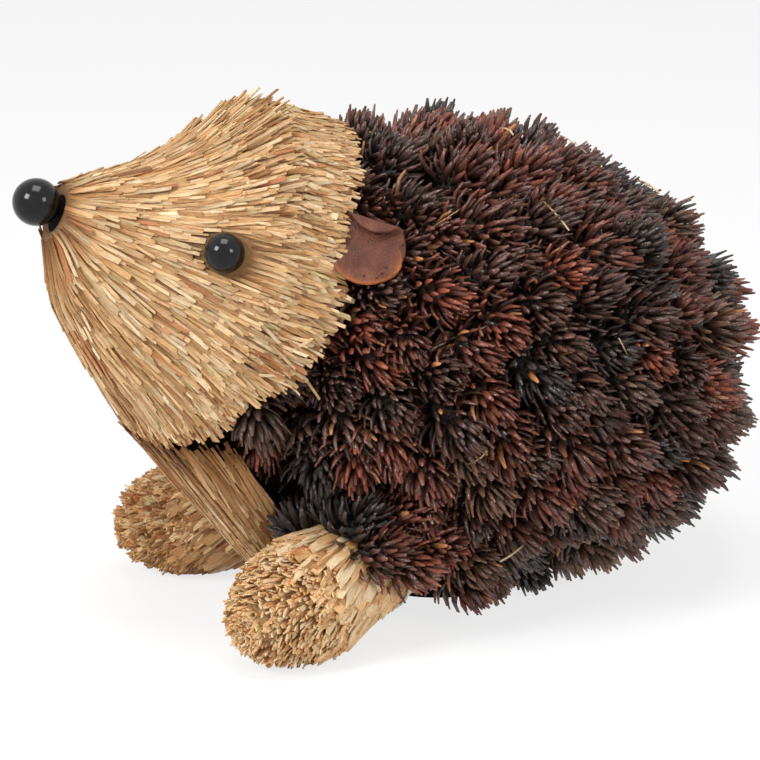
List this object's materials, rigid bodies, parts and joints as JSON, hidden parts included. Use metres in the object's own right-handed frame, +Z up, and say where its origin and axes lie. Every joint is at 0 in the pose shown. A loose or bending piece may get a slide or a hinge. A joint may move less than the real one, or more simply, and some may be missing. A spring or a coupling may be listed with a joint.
{
  "type": "hedgehog figurine",
  "caption": "Standing hedgehog ornament: a cone-covered body, a long straw-thatched head with bead eyes and nose, leather ears and two straw front paws.",
  "frame": {"origin": "centre of the flat foot, on the surface that the figurine stands on", "axes": "-X towards the nose, -Y towards the hedgehog's left side, +Z up"},
  "size_m": [0.3276, 0.2123, 0.2178],
  "materials": {
    "straw": "dry cut straw, matt with a faint sheen, glued in overlapping courses",
    "throat_straw": "long dry straw with reddish streaks",
    "paw_straw": "dry straw and broad leaves in a tied bundle",
    "pine_cone": "dark brown, charcoal and rust pine cones, varnished",
    "leather": "brown leather, matt, with paler cut edges",
    "black_bead": "polished black bead",
    "foam": "rigid foam, painted dark under the cones",
    "dowel": "plain softwood dowel",
    "wire": "thin annealed wire",
    "glue": "clear amber hot glue"
  },
  "bodies": {
    "root": {"body_core": "foam", "cone_ring_01": "pine_cone", "cone_ring_02": "pine_cone", "cone_ring_03": "pine_cone", "cone_ring_04": "pine_cone", "cone_ring_05": "pine_cone", "cone_ring_06": "pine_cone", "cone_ring_07": "pine_cone", "cone_ring_08": "pine_cone", "cone_ring_09": "pine_cone", "cone_ring_10": "pine_cone", "cone_ring_11": "pine_cone", "ear_left": "leather", "ear_right": "leather", "eye_left": "black_bead", "eye_pin_left": "wire", "eye_pin_right": "wire", "eye_right": "black_bead", "glue_dabs": "glue", "head_core": "foam", "head_straw_course_1": "straw", "head_straw_course_2": "straw", "head_straw_course_3": "straw", "head_straw_course_4": "straw", "head_straw_course_5": "straw", "head_straw_course_6": "straw", "neck_dowel": "dowel", "nose_bead": "black_bead", "nose_pin": "wire", "paw_peg_left": "dowel", "paw_peg_right": "dowel", "paw_straw_left": "paw_straw", "paw_straw_right": "paw_straw", "paw_tie_left": "wire", "paw_tie_right": "wire", "throat_pad": "foam", "throat_straw": "throat_straw"}
  },
  "joints": []
}
